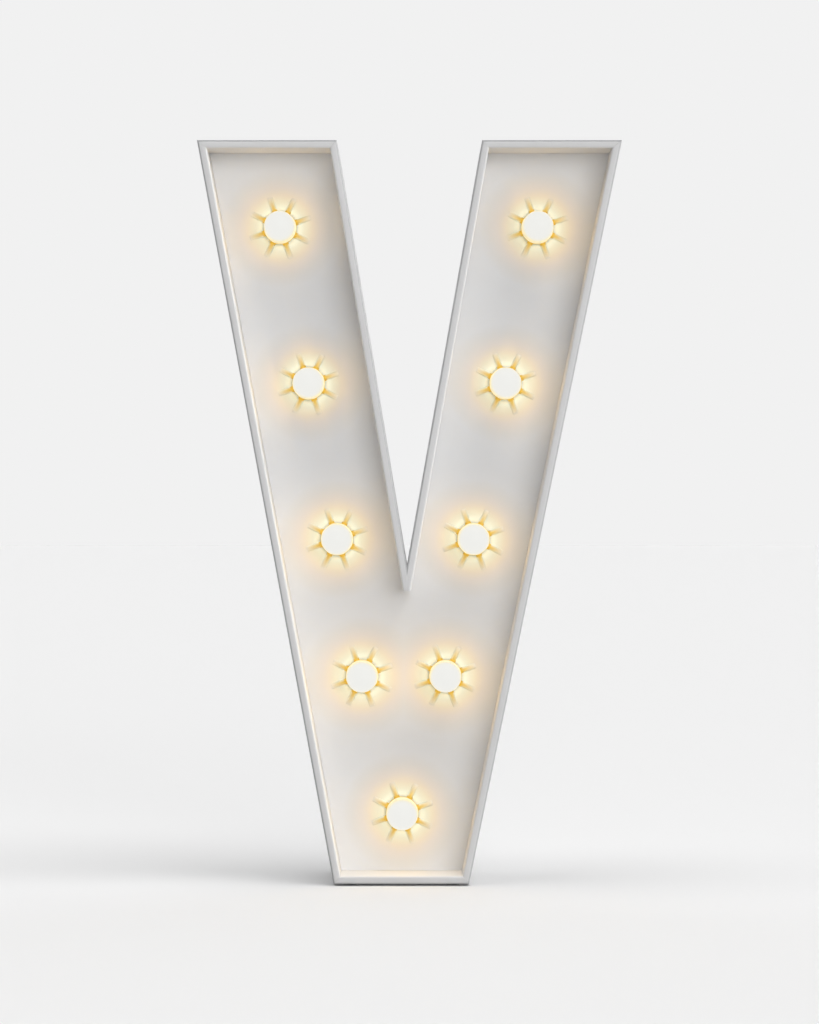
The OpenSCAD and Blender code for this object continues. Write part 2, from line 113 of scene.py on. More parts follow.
class Graph:
    """Wires the nodes of one material round its main shader."""

    def __init__(self, name: str) -> None:
        """Starts a material.

        Args:
            name: The material's name.
        """
        self.material = bpy.data.materials.new(name)
        self.material.use_nodes = True
        self.tree = self.material.node_tree
        self.shader = self.tree.nodes["Principled BSDF"]
        self._place: Socket | None = None

    def add(self, kind: str, **settings: object) -> bpy.types.Node:
        """Adds a node.

        Args:
            kind: The node's type, without its ShaderNode prefix.
            **settings: Properties of the node.

        Returns:
            The new node.
        """
        node = self.tree.nodes.new("ShaderNode" + kind)
        for key, value in settings.items():
            setattr(node, key, value)
        return node

    def put(self, target: Socket, value: Socket | float | tuple[float, ...]) -> None:
        """Fills a node's input.

        Args:
            target: The input.
            value: An output to link to it, or its own number or numbers.
        """
        if isinstance(value, Socket):
            self.tree.links.new(value, target)
        else:
            target.default_value = value

    def feed(self, key: str, value: Socket | float | tuple[float, ...]) -> None:
        """Fills one of the main shader's inputs."""
        self.put(self.shader.inputs[key], value)

    def place(self) -> Socket:
        """Finds the Object coordinates.

        Returns:
            The coordinates, from one shared node.
        """
        if self._place is None:
            self._place = self.add("TexCoord").outputs["Object"]
        return self._place

    def stretched(self, scale: Point) -> Socket:
        """Scales the Object coordinates, for a pattern that runs along one way.

        Args:
            scale: Factors along X, Y and Z.

        Returns:
            The scaled coordinates.
        """
        node = self.add("Mapping")
        self.put(node.inputs["Scale"], scale)
        self.put(node.inputs["Vector"], self.place())
        return node.outputs["Vector"]

    def noise(self, scale: float, detail: float = 2.0, vector: Socket | None = None) -> Socket:
        """Adds a noise pattern.

        Args:
            scale: Bumps to the metre.
            detail: Octaves of finer noise.
            vector: Coordinates, or None for the plain Object coordinates.

        Returns:
            The pattern's value.
        """
        node = self.add("TexNoise")
        for key, value in (("Scale", scale), ("Detail", detail), ("Vector", vector or self.place())):
            self.put(node.inputs[key], value)
        return node.outputs["Fac"]

    def span(self, value: Socket, old: Pair, new: Pair) -> Socket:
        """Maps a value from one range to another.

        Args:
            value: The value.
            old: Its range.
            new: The range that it gets.

        Returns:
            The mapped value.
        """
        node = self.add("MapRange", interpolation_type="SMOOTHSTEP")
        for key, part in zip(("Value", "From Min", "From Max", "To Min", "To Max"), (value, *old, *new)):
            self.put(node.inputs[key], part)
        return node.outputs["Result"]

    def math(self, how: str, a: Socket, b: Socket | float) -> Socket:
        """Combines two values.

        Args:
            how: The Math node's operation.
            a: The first value.
            b: The second value or a number.

        Returns:
            The result.
        """
        node = self.add("Math", operation=how)
        self.put(node.inputs[0], a)
        self.put(node.inputs[1], b)
        return node.outputs["Value"]

    def ramp(self, value: Socket, stops: Sequence[Stop]) -> Socket:
        """Colours a value.

        Args:
            value: A value from 0 to 1.
            stops: Positions and their colours.

        Returns:
            The colour.
        """
        node = self.add("ValToRGB")
        marks = node.color_ramp.elements
        while len(marks) < len(stops):
            marks.new(0.5)
        for mark, (position, colour) in zip(marks, stops):
            mark.position = position
            mark.color = (*colour, 1.0)
        self.put(node.inputs["Fac"], value)
        return node.outputs["Color"]

    def mottle(self, colour: Colour, share: float, scale: float, detail: float) -> Socket:
        """Clouds a colour down to a share of itself, at clouds to the metre and octaves of finer ones."""
        dark = tuple(c * share for c in colour)
        return self.ramp(self.noise(scale, detail), tuple(zip(NOISE_SPAN, (dark, colour))))

    def blend(self, a: Socket, b: Socket, share: Socket | float, how: str = "MIX") -> Socket:
        """Blends two colours.

        Args:
            a: The first colour.
            b: The second colour.
            share: How much of the blend counts, from 0 to 1.
            how: The blend's type.

        Returns:
            The blended colour.
        """
        node = self.add("Mix", data_type="RGBA", blend_type=how)
        self.put(node.inputs["Factor"], share)
        for target, value in zip([s for s in node.inputs if s.type == "RGBA"], (a, b)):
            self.put(target, value)
        return next(s for s in node.outputs if s.type == "RGBA")

    def multiply(self, a: Socket, b: Socket) -> Socket:
        """Multiplies two colours."""
        return self.blend(a, b, 1.0, "MULTIPLY")

    def rough(self, pattern: Socket, low: float, spread: float) -> None:
        """Varies the surface's roughness by a pattern, from its lowest value over a spread."""
        self.feed("Roughness", self.span(pattern, NOISE_SPAN, (low, low + spread)))

    def glow(self, colour: Socket) -> None:
        """Lets the surface give off light of a colour."""
        self.feed("Emission Color", colour)
        self.feed("Emission Strength", 1.0)

    def bump(self, height: Socket, strength: float, depth: float) -> None:
        """Roughens the surface.

        Args:
            height: The pattern.
            strength: Its share, from 0 to 1.
            depth: Its depth in metres.
        """
        node = self.add("Bump")
        for key, value in (("Strength", strength), ("Distance", depth), ("Height", height)):
            self.put(node.inputs[key], value)
        self.feed("Normal", node.outputs["Normal"])

    def lamp_distance(self, lamps: Sequence[Pair]) -> Socket:
        """Measures how far a point lies from the nearest lamp's axis.

        Args:
            lamps: The axes, as X and Z.

        Returns:
            The distance in metres.
        """
        flat = self.stretched((1.0, 0.0, 1.0))
        nearest: Socket | None = None
        for x, z in lamps:
            node = self.add("VectorMath", operation="DISTANCE")
            self.put(node.inputs[0], flat)
            self.put(node.inputs[1], (x, 0.0, z))
            gap = node.outputs["Value"]
            nearest = gap if nearest is None else self.math("MINIMUM", nearest, gap)
        return nearest


@dataclass(frozen=True)
class Paint:
    """Dull paint, rolled on smooth board."""

    name: str
    colour: Colour
    # The colour that the marked edges are darkened towards, as painted shade.
    edge: Colour | None = None
    shade: float = 0.965
    cloud: float = 7.0
    cloud_detail: float = 5.0
    roughness: float = 0.55
    spread: float = 0.1
    smear: float = 63.0
    shine: float = 0.03
    grain: float = 620.0
    grain_detail: float = 3.0
    grain_share: float = 0.35
    depth: float = 0.00012

    def graph(self) -> Graph:
        """Builds the paint with its faint clouds, its roller grain and painted shade on its marked edges.

        Returns:
            The paint's nodes.
        """
        g = Graph(self.name)
        coat = g.mottle(self.colour, self.shade, self.cloud, self.cloud_detail)
        # Painted shade: the marked edges are multiplied towards the edge colour.
        if self.edge is not None:
            mark = g.add("Attribute", attribute_name=EDGE).outputs["Fac"]
            coat = g.multiply(coat, g.ramp(mark, ((0.0, FULL), (1.0, self.edge))))
        g.feed("Base Color", coat)
        g.rough(g.noise(self.smear), self.roughness, self.spread)
        g.feed("Specular IOR Level", self.shine)
        g.bump(g.noise(self.grain, self.grain_detail), self.grain_share, self.depth)
        return g

    def material(self) -> Material:
        """Returns the finished material."""
        return self.graph().material


@dataclass(frozen=True)
class GlowPaint(Paint):
    """The same paint with the lamps' warm light painted on it: a tint and a glow round each lamp."""

    lamps: tuple[Pair, ...] = ()
    reach: float = 0.125
    # Painted light and shade: tints that warm the paint round each lamp and darken it a little.
    painted_light_tints: tuple[Stop, ...] = (
        (0.25, (0.92, 1.0, 1.0)), (0.276, (0.9, 1.0, 1.0)), (0.315, (0.92, 0.98, 0.91)),
        (0.354, (0.948, 0.964, 0.854)), (0.394, (0.973, 0.942, 0.817)), (0.433, (0.989, 0.928, 0.819)),
        (0.525, (0.982, 0.933, 0.886)), (0.656, (0.979, 0.962, 0.936)), (0.787, (1.0, 1.0, 1.0)))
    # Painted light: a glow given off by the panel close round each lamp.
    glows: tuple[Stop, ...] = (
        (0.2, (0.12, 0.12, 0.07)), (0.25, (0.08, 0.09, 0.06)), (0.276, (0.04, 0.05, 0.03)), (0.32, (0.0, 0.0, 0.0)))

    def material(self) -> Material:
        """Paints the lamps' warm light round each lamp, as a tint of the paint and a glow.

        Returns:
            The finished material.
        """
        g = self.graph()
        share = g.math("DIVIDE", g.lamp_distance(self.lamps), self.reach)
        plain = g.shader.inputs["Base Color"].links[0].from_socket
        g.feed("Base Color", g.multiply(plain, g.ramp(share, self.painted_light_tints)))
        g.glow(g.ramp(share, self.glows))
        return g.material


@dataclass(frozen=True)
class Opal:
    """An opal globe that is lit from inside."""

    name: str
    front: float = -0.075
    rear: float = -0.032
    glows: tuple[Stop, ...] = (
        (0.0, (0.845, 0.845, 0.815)), (0.2, (0.85, 0.845, 0.8)), (0.36, (0.865, 0.83, 0.7)),
        (0.53, (0.875, 0.8, 0.56)), (1.0, (0.86, 0.74, 0.42)))
    cloud: float = 90.0
    cloud_share: float = 0.03
    shell: Colour = (0.02, 0.02, 0.02)
    shine: float = 0.1
    roughness: float = 0.4
    spread: float = 0.08
    smear: float = 60.0

    def material(self) -> Material:
        """Builds the globe's glow, a little warmer towards the lamp's neck.

        Returns:
            The finished material.
        """
        g = Graph(self.name)
        split = g.add("SeparateXYZ")
        g.put(split.inputs[0], g.place())
        share = g.span(split.outputs["Y"], (self.front, self.rear), (0.0, 1.0))
        cloud = g.math("MULTIPLY", g.noise(self.cloud), self.cloud_share)
        g.glow(g.ramp(g.math("ADD", share, cloud), self.glows))
        g.feed("Base Color", (*self.shell, 1.0))
        g.feed("Specular IOR Level", self.shine)
        g.rough(g.noise(self.smear), self.roughness, self.spread)
        return g.material


@dataclass(frozen=True)
class Amber:
    """Thin amber plastic, lit by its lamp and with that light also painted on as a glow, which shows the panel's
    painted light where it thins out.
    """

    name: str
    paint: GlowPaint
    reach: float = 0.05
    colours: tuple[Stop, ...] = (
        (0.525, (0.4, 0.37, 0.22)), (0.535, (0.37, 0.23, 0.01)), (0.7, (0.4, 0.26, 0.01)), (0.9, (0.42, 0.28, 0.05)))
    # Painted light: the glow that the ring gives off, though it is no lamp.
    glows: tuple[Stop, ...] = (
        (0.525, (0.55, 0.52, 0.38)), (0.535, (0.3, 0.19, 0.01)), (0.7, (0.33, 0.21, 0.0)), (0.9, (0.34, 0.23, 0.03)))
    ripple: float = 160.0
    ripple_share: float = 0.01
    roughness: float = 0.3
    spread: float = 0.12
    smear: float = 240.0
    grain: float = 900.0
    grain_share: float = 0.2
    depth: float = 0.0001

    def material(self) -> Material:
        """Builds the amber and its painted glow, which the piece's own marks blend into the paint and its painted
        light.

        Returns:
            The finished material.
        """
        g = Graph(self.name)
        distance = g.lamp_distance(self.paint.lamps)
        ripple = g.math("MULTIPLY", g.noise(self.ripple), self.ripple_share)
        wave = g.math("ADD", g.math("DIVIDE", distance, self.reach), ripple)
        lit = g.math("DIVIDE", distance, self.paint.reach)
        fade = g.add("Attribute", attribute_name=FADE).outputs["Fac"]
        painted = tuple(
            (at, tuple(c * t for c, t in zip(self.paint.colour, tint))) for at, tint in self.paint.painted_light_tints)
        # Where the ring thins out it shows the panel's paint with its painted light and shade.
        g.feed("Base Color", g.blend(g.ramp(lit, painted), g.ramp(wave, self.colours), fade))
        # Painted light: the ring's glow, blended into the panel's painted glow where it thins out.
        g.glow(g.blend(g.ramp(lit, self.paint.glows), g.ramp(wave, self.glows), fade))
        g.rough(g.noise(self.smear), self.roughness, self.spread)
        g.bump(g.noise(self.grain), self.grain_share, self.depth)
        return g.material


@dataclass(frozen=True)
class Moulded:
    """Moulded plastic or rubber with a fine grain."""

    name: str
    colour: Colour
    roughness: float = 0.45
    grain: float = 1500.0
    depth: float = 0.00012
    variation: float = 0.12
    cloud: float = 45.0
    cloud_detail: float = 4.0
    spread: float = 0.12
    smear: float = 130.0
    grain_share: float = 0.4

    def material(self) -> Material:
        """Builds the plastic with its clouds and its grain.

        Returns:
            The finished material.
        """
        g = Graph(self.name)
        g.feed("Base Color", g.mottle(self.colour, 1 - self.variation, self.cloud, self.cloud_detail))
        g.rough(g.noise(self.smear), self.roughness, self.spread)
        g.bump(g.noise(self.grain), self.grain_share, self.depth)
        return g.material


@dataclass(frozen=True)
class Metal:
    """Drawn or plated metal with fine lines along one way."""

    name: str
    colour: Colour
    roughness: float
    spread: float = 0.14
    dull: float = 0.82
    cloud: float = 55.0
    detail: float = 3.0
    lines: Point = (300.0, 40.0, 300.0)
    line_scale: float = 8.0
    line_share: float = 0.15
    depth: float = 0.00005

    def material(self) -> Material:
        """Builds the metal with its clouds and its fine lines.

        Returns:
            The finished material.
        """
        g = Graph(self.name)
        fine = g.noise(self.line_scale, self.detail, g.stretched(self.lines))
        g.feed("Metallic", 1.0)
        g.feed("Base Color", g.mottle(self.colour, self.dull, self.cloud, self.detail))
        g.rough(fine, self.roughness, self.spread)
        g.bump(fine, self.line_share, self.depth)
        return g.material


@dataclass(frozen=True)
class Timber:
    """Planed softwood."""

    name: str
    pale: Colour
    dark: Colour
    span: Pair = (0.35, 0.65)
    stretch: Point = (30.0, 30.0, 4.0)
    grain: float = 4.0
    grain_detail: float = 5.0
    grain_share: float = 0.3
    depth: float = 0.0004
    roughness: float = 0.65

    def material(self) -> Material:
        """Builds the timber with its grain along the boards.

        Returns:
            The finished material.
        """
        g = Graph(self.name)
        grain = g.noise(self.grain, self.grain_detail, g.stretched(self.stretch))
        g.feed("Base Color", g.ramp(grain, tuple(zip(self.span, (self.dark, self.pale)))))
        g.feed("Roughness", self.roughness)
        g.bump(grain, self.grain_share, self.depth)
        return g.material


def both(test: Callable[[Vector], bool]) -> EdgeTest:
    """Returns a test that both ends of an edge have to pass."""
    return lambda a, b: test(a) and test(b)


def runs_along_y(a: Vector, b: Vector) -> bool:
    """Says whether an edge between two points runs along Y."""
    return abs(a.y - b.y) > NEAR


class Bench:
    """Blender's own tools, as used at a modelling bench."""

    @staticmethod
    def clear() -> None:
        """Deselects everything."""
        for obj in list(bpy.context.selected_objects):
            obj.select_set(False)

    @staticmethod
    def hold(obj: Piece) -> None:
        """Selects one object alone and makes it active.

        Args:
            obj: The object.
        """
        Bench.clear()
        obj.select_set(True)
        bpy.context.view_layer.objects.active = obj

    @staticmethod
    def label(obj: Piece, name: str) -> Piece:
        """Names an object and its mesh, and returns the object."""
        obj.name = obj.data.name = name
        return obj

    @staticmethod
    def settle(name: str) -> Piece:
        """Names the newest primitive and puts its place into its mesh.

        Args:
            name: Its name.

        Returns:
            Its object.
        """
        obj = bpy.context.object
        Bench.hold(obj)
        bpy.ops.object.transform_apply(location=True, rotation=True, scale=True)
        return Bench.label(obj, name)

    @staticmethod
    def block(name: str, size: Point, centre: Point, turn: Point = LEVEL) -> Piece:
        """Adds a block.

        Args:
            name: Its name.
            size: Its lengths along X, Y and Z before it is turned.
            centre: Its middle.
            turn: Its turn about X, Y and Z.

        Returns:
            The new object.
        """
        Bench.clear()
        bpy.ops.mesh.primitive_cube_add(size=1.0, location=centre, rotation=turn, scale=size)
        return Bench.settle(name)

    @staticmethod
    def drum(
            name: str, radius: float, length: float, centre: Point, sides: int = 64, turn: Point = LEVEL) -> Piece:
        """Adds a round or many-sided drum, along Z before it is turned.

        Args:
            name: Its name.
            radius: Its radius.
            length: Its length.
            centre: Its middle.
            sides: The number of its sides.
            turn: Its turn about X, Y and Z.

        Returns:
            The new object.
        """
        Bench.clear()
        bpy.ops.mesh.primitive_cylinder_add(
            vertices=sides, radius=radius, depth=length, location=centre, rotation=turn)
        return Bench.settle(name)

    @staticmethod
    @contextmanager
    def edit(obj: Piece) -> Iterator[None]:
        """Opens an object's mesh for editing, with nothing selected.

        Args:
            obj: The object.

        Yields:
            Nothing.
        """
        Bench.hold(obj)
        bpy.ops.object.mode_set(mode="EDIT")
        bpy.ops.mesh.select_all(action="DESELECT")
        try:
            yield
        finally:
            bpy.ops.object.mode_set(mode="OBJECT")

    @staticmethod
    def pick_edges(test: EdgeTest) -> None:
        """Selects edges in the open mesh.

        Args:
            test: Says whether an edge between two points is wanted.
        """
        bpy.ops.mesh.select_mode(type="EDGE")
        bpy.ops.mesh.select_all(action="DESELECT")
        mesh = bmesh.from_edit_mesh(bpy.context.object.data)
        for edge in mesh.edges:
            edge.select_set(bool(test(*(v.co for v in edge.verts))))
        bmesh.update_edit_mesh(bpy.context.object.data)

    @staticmethod
    def pick_faces(way: Vector) -> None:
        """Selects the faces of the open mesh that face one way.

        Args:
            way: The direction.
        """
        bpy.ops.mesh.select_mode(type="FACE")
        bpy.ops.mesh.select_all(action="DESELECT")
        mesh = bmesh.from_edit_mesh(bpy.context.object.data)
        for face in mesh.faces:
            face.select_set(face.normal.dot(way) > FACING)
        bmesh.update_edit_mesh(bpy.context.object.data)

    @staticmethod
    def round_over(radius: float, steps: int = 4) -> None:
        """Rounds the selected edges of the open mesh."""
        bpy.ops.mesh.bevel(offset=radius, offset_type="OFFSET", segments=steps, profile=0.5, affect="EDGES")

    @staticmethod
    def score(point: Point, normal: Point) -> None:
        """Adds edges to the open mesh along a plane."""
        bpy.ops.mesh.select_all(action="SELECT")
        bpy.ops.mesh.bisect(plane_co=point, plane_no=normal)

    @staticmethod
    def saw(point: Point, normal: Point) -> None:
        """Saws the open mesh along a plane and drops the side that the normal points to."""
        bpy.ops.mesh.select_all(action="SELECT")
        bpy.ops.mesh.bisect(plane_co=point, plane_no=normal, use_fill=True, clear_outer=True, clear_inner=False)

    @staticmethod
    def combine(obj: Piece, tool: Piece, how: Cut) -> Piece:
        """Combines a solid with a tool, which is used up.

        Args:
            obj: The solid.
            tool: The other solid.
            how: The way to combine them.

        Returns:
            The first solid.
        """
        Bench.hold(obj)
        modifier = obj.modifiers.new("combine", "BOOLEAN")
        modifier.operation = how.value
        modifier.solver = "EXACT"
        modifier.object = tool
        bpy.ops.object.modifier_apply(modifier=modifier.name)
        Bench.drop(tool)
        return obj

    @staticmethod
    def soften(obj: Piece, angle: float = 35.0) -> None:
        """Shades an object smooth, but for edges sharper than the angle in degrees."""
        Bench.hold(obj)
        bpy.ops.object.shade_smooth_by_angle(angle=math.radians(angle))

    @staticmethod
    def copy_to(obj: Piece, name: str, move: Matrix) -> Piece:
        """Copies an object with its own mesh.

        Args:
            obj: The object.
            name: The copy's name.
            move: The move of the copy's mesh.

        Returns:
            The copy.
        """
        twin = obj.copy()
        twin.data = obj.data.copy()
        twin.data.transform(move)
        bpy.context.scene.collection.objects.link(twin)
        return Bench.label(twin, name)

    @staticmethod
    def join(parts: Sequence[Piece], name: str) -> Piece:
        """Joins objects into the first of them.

        Args:
            parts: The objects.
            name: The name of the whole.

        Returns:
            The whole.
        """
        Bench.hold(parts[0])
        for part in parts[1:]:
            part.select_set(True)
        bpy.ops.object.join()
        return Bench.label(parts[0], name)

    @staticmethod
    def drop(obj: Piece) -> None:
        """Removes a pattern piece and its mesh.

        Args:
            obj: The piece.
        """
        mesh = obj.data
        bpy.data.objects.remove(obj)
        bpy.data.meshes.remove(mesh)


def coat(obj: Piece, finish: Material) -> None:
    """Gives an object one material."""
    obj.data.materials.clear()
    obj.data.materials.append(finish)


def dress(obj: Piece, finish: Material, slot: Slot, body: str, *nodes: str) -> Piece:
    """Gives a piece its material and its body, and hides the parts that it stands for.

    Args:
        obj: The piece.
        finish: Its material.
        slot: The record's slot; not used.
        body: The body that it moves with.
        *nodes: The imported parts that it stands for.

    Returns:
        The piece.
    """
    coat(obj, finish)
    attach(obj, body)
    if nodes:
        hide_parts(*nodes)
    LOG.info("%s on %s", obj.name, body)
    return obj


def solids(node: Piece, reach: float, across: Point = FULL) -> list[tuple[Vector, Vector]]:
    """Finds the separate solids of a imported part.

    Args:
        node: The part's object.
        reach: A length that is more than a solid's size and less than the gap between two of them.
        across: The share of each axis that counts, which is 0 along solids that are longer than that gap.

    Returns:
        The lowest and the highest corner of each solid.
    """
    found: list[tuple[Vector, Vector]] = []
    for vertex in node.data.vertices:
        point = vertex.co
        for low, high in found:
            if (((low + high) / 2 - point) * Vector(across)).length < reach:
                for k in range(3):
                    low[k], high[k] = min(low[k], point[k]), max(high[k], point[k])
                break
        else:
            found.append((point.copy(), point.copy()))
    return found


@dataclass
class Casing:
    """The seven wall boards, mitred into each other."""

    low: float = 0.003
    top: float = 1.2
    half_width: float = 0.342
    limb: float = 0.225
    notch: Pair = (-0.004, 0.514)
    notch_corner: int = 5
    foot: Pair = (-0.122, 0.096)
    half_depth: float = 0.09
    board: float = 0.013
    spare: float = 0.3
    seam: float = 0.0002
    nose: float = 0.47479
    outer_round: float = 0.003
    inner_round: float = 0.0034
    rear_round: float = 0.0015
    round_steps: int = 6
    # Share of the painted edge shade on the boards other than the top ones.
    side_edge_shade: float = 0.55
    edge_shade_power: int = 6
    names: tuple[str, ...] = (
        "wall_outer_left", "wall_base", "wall_outer_right", "wall_top_right",
        "wall_notch_right", "wall_notch_left", "wall_top_left")

    def outline(self) -> list[Vector]:
        """Lists the letter's corners.

        Returns:
            The corners as X and Z, anticlockwise from the top left as the front shows it.
        """
        w, inner = self.half_width, self.half_width - self.limb
        points = (
            (-w, self.top), (self.foot[0], self.low), (self.foot[1], self.low), (w, self.top),
            (inner, self.top), self.notch, (-inner, self.top))
        return [Vector(p) for p in points]

    @staticmethod
    def bisector(a: Vector, b: Vector, c: Vector) -> Vector:
        """Returns the normal of the mitre at b, which points from the edge before it towards the edge after it."""
        normal = (b - a).normalized() + (c - b).normalized()
        return Vector((normal.x, 0.0, normal.y)).normalized()

    def wall(self, index: int) -> Piece:
        """Models one board: rounds a long block along its edges, then saws its mitres.

        Args:
            index: The corner that the board starts from.

        Returns:
            The board.
        """
        corners = self.outline()
        before, start, end, after = (corners[(index + k) % len(corners)] for k in (-1, 0, 1, 2))
        along = (end - start).normalized()
        inward = Vector((-along.y, along.x))
        middle = (start + end) / 2 + inward * self.board / 2
        obj = Bench.block(
            self.names[index].replace("wall", "board"),
            ((end - start).length + self.spare, 2 * self.half_depth, self.board),
            (middle.x, 0.0, middle.y), (0.0, -math.atan2(along.y, along.x), 0.0))
        outer = start.dot(inward)
        inner, front, rear = outer + self.board, -self.half_depth, self.half_depth

        def long_edge(y: float, line: float) -> EdgeTest:
            """Returns the test for the long edge at this depth and this far inwards."""
            return both(lambda p: abs(p.y - y) < NEAR and abs(Vector((p.x, p.z)).dot(inward) - line) < NEAR)

        with Bench.edit(obj):
            for y, line, radius in (
                    (front, outer, self.outer_round), (front, inner, self.inner_round),
                    (rear, outer, self.rear_round), (rear, inner, self.rear_round)):
                Bench.pick_edges(long_edge(y, line))
                Bench.round_over(radius, self.round_steps)
            for corner, normal in (
                    (start, -self.bisector(before, start, end)), (end, self.bisector(start, end, after))):
                Bench.saw(Vector((corner.x, 0.0, corner.y)) - normal * self.seam / 2, normal)
            if self.notch_corner in (index, index + 1):
                Bench.saw((0.0, 0.0, self.nose), (0.0, 0.0, -1.0))
        self.mark_edge_shade(obj, inward, outer)
        Bench.soften(obj)
        return obj

    def mark_edge_shade(self, obj: Piece, inward: Vector, outer: float) -> None:
        """Marks the rounded outer front edge for painted shade, which is full on the top boards.

        Args:
            obj: The board.
            inward: The direction from its outer face to its inner face, as X and Z.
            outer: The outer face's place along that direction.
        """
        # Painted shade: full on the top boards, a share of it on the others.
        weight = 1.0 if "top" in obj.name else self.side_edge_shade
        marks = obj.data.attributes.new(EDGE, "FLOAT", "POINT")
        for vertex, mark in zip(obj.data.vertices, marks.data):
            out = self.outer_round - (Vector((vertex.co.x, vertex.co.z)).dot(inward) - outer)
            front = self.outer_round - (vertex.co.y + self.half_depth)
            if min(out, front) > -CLOSE:
                share = math.atan2(max(front, 0.0), max(out, 0.0)) / (math.pi / 2)
                mark.value = weight * max(0.0, 1.0 - abs(2 * share - 1) ** self.edge_shade_power)

    def build(self, paint: Material) -> None:
        """Builds all the boards in their paint."""
        for index, name in enumerate(self.names):
            dress(self.wall(index), paint, Slot.BOARD, CASING, name)


@dataclass
class Lamps:
    """The globes and the amber shade rings, on axes that are given as X and Z."""

    axes: tuple[Pair, ...]
    panel_y: float = -0.02
    globe_r: float = 0.025
    globe_y: float = -0.05
    globe_parts: tuple[int, int] = (72, 48)
    neck_y: float = -0.03215
    neck_round: float = 0.0004
    ring_flats: float = 0.053
    ring_t: float = 0.005
    ring_round: float = 0.0006
    ring_turn: float = math.radians(19.0)
    sides: int = 8
    bore_r: float = 0.0199
    bore_len: float = 0.03
    bore_sides: int = 96
    rib_root: float = 0.0209
    rib_reach: float = 0.052
    rib_w: float = 0.0098
    rib_end_w: float = 0.0094
    rib_h: float = 0.007
    rib_end_h: float = 0.0009
    rib_gap: float = 0.0002
    rib_steps: int = 8
    rib_sides: int = 28
    fade_margin: float = 0.003
    fade_power: float = 1.5
    light_r: float = 0.026

    def globe(self) -> Piece:
        """Models one globe on the origin's axis: a ball sawn off at its neck, with the neck's edge eased.

        Returns:
            The globe.
        """
        segments, rings = self.globe_parts
        Bench.clear()
        bpy.ops.mesh.primitive_uv_sphere_add(
            segments=segments, ring_count=rings, radius=self.globe_r, location=(0.0, self.globe_y, 0.0),
            rotation=ALONG_Y)
        obj = Bench.settle("globe_pattern")
        with Bench.edit(obj):
            Bench.saw((0.0, self.neck_y, 0.0), (0.0, 1.0, 0.0))
            Bench.pick_edges(both(lambda p: abs(p.y - self.neck_y) < NEAR))
            Bench.round_over(self.neck_round, 2)
        Bench.soften(obj, 50.0)
        return obj

    def rib(self, corner_r: float) -> Piece:
        """Models one rib along +X: half a drum, flattened, then drawn down and in towards its outer end.

        Args:
            corner_r: The radius of the ring's corners, where the rib starts to slope.

        Returns:
            The rib.
        """
        length = self.rib_reach - self.rib_root
        middle = (self.rib_root + length / 2, self.panel_y, 0.0)
        obj = Bench.drum("rib_pattern", self.rib_w / 2, length, middle, self.rib_sides, ALONG_X)
        stations = [corner_r + (self.rib_reach - corner_r) * k / self.rib_steps for k in range(self.rib_steps + 1)]
        with Bench.edit(obj):
            for x in stations[:-1]:
                Bench.score((x, 0.0, 0.0), (1.0, 0.0, 0.0))
            bpy.ops.mesh.select_all(action="SELECT")
            bpy.ops.transform.resize(
                value=(1.0, 2 * self.rib_h / self.rib_w, 1.0), center_override=(0.0, self.panel_y, 0.0))
            for k, x in enumerate(stations[1:], 1):
                share = k / self.rib_steps
                height = 1.0 + share * (self.rib_end_h / self.rib_h - 1.0)
                width = 1.0 + share * (self.rib_end_w / self.rib_w - 1.0)
                Bench.pick_edges(both(lambda p: abs(p.x - x) < NEAR))
                bpy.ops.transform.resize(value=(1.0, height, width), center_override=(x, self.panel_y, 0.0))
            Bench.saw((0.0, self.panel_y - self.rib_gap, 0.0), (0.0, 1.0, 0.0))
        return obj

    def mark_fade(self, obj: Piece) -> None:
        """Marks how much amber shows at each point of the ring, least at the sides and ends of its ribs.

        Args:
            obj: The ring, on the origin's axis.
        """
        step = 2 * math.pi / self.sides
        flat = self.ring_flats / 2
        marks = obj.data.attributes.new(FADE, "FLOAT", "POINT")
        for vertex, mark in zip(obj.data.vertices, marks.data):
            radius = math.hypot(vertex.co.x, vertex.co.z)
            angle = math.atan2(vertex.co.z, vertex.co.x) - self.ring_turn
            angle -= step * round(angle / step)
            along, aside = radius * math.cos(angle), abs(radius * math.sin(angle))
            share = min(1.0, max(0.0, (along - flat) / (self.rib_reach - flat)))
            half = (self.rib_w + share * (self.rib_end_w - self.rib_w)) / 2
            side = 1.0 - min(1.0, aside / half) ** 2 if along > flat + self.fade_margin else 1.0
            mark.value = side * (1.0 - share ** self.fade_power)

    def ring(self) -> Piece:
        """Models one shade ring on the origin's axis: an eight-sided plate, bored, with a rib at each corner.

        Returns:
            The ring.
        """
        corner_r = self.ring_flats / 2 / math.cos(math.pi / self.sides)
        front = self.panel_y - self.ring_t
        middle = (0.0, self.panel_y - self.ring_t / 2, 0.0)
        obj = Bench.drum("ring_pattern", corner_r, self.ring_t, middle, self.sides, ALONG_Y)
        with Bench.edit(obj):
            Bench.pick_edges(both(lambda p: abs(p.y - front) < NEAR))
            Bench.round_over(self.ring_round, 3)
        first = max(obj.data.vertices, key=lambda v: (round(math.hypot(v.co.x, v.co.z), 6), v.co.x)).co
        obj.data.transform(Matrix.Rotation(math.atan2(first.z, first.x), 4, "Y"))
        rib = self.rib(corner_r)
        step = 2 * math.pi / self.sides
        ribs = [Bench.copy_to(rib, f"rib_{k}", Matrix.Rotation(-k * step, 4, "Y")) for k in range(self.sides)]
        Bench.drop(rib)
        Bench.combine(obj, Bench.join(ribs, "ribs"), Cut.UNION)
        bore = Bench.drum("bore", self.bore_r, self.bore_len, (0.0, self.panel_y, 0.0), self.bore_sides, ALONG_Y)
        Bench.combine(obj, bore, Cut.DIFFERENCE)
        obj.data.transform(Matrix.Rotation(-self.ring_turn, 4, "Y"))
        self.mark_fade(obj)
        Bench.soften(obj, 40.0)
        return obj

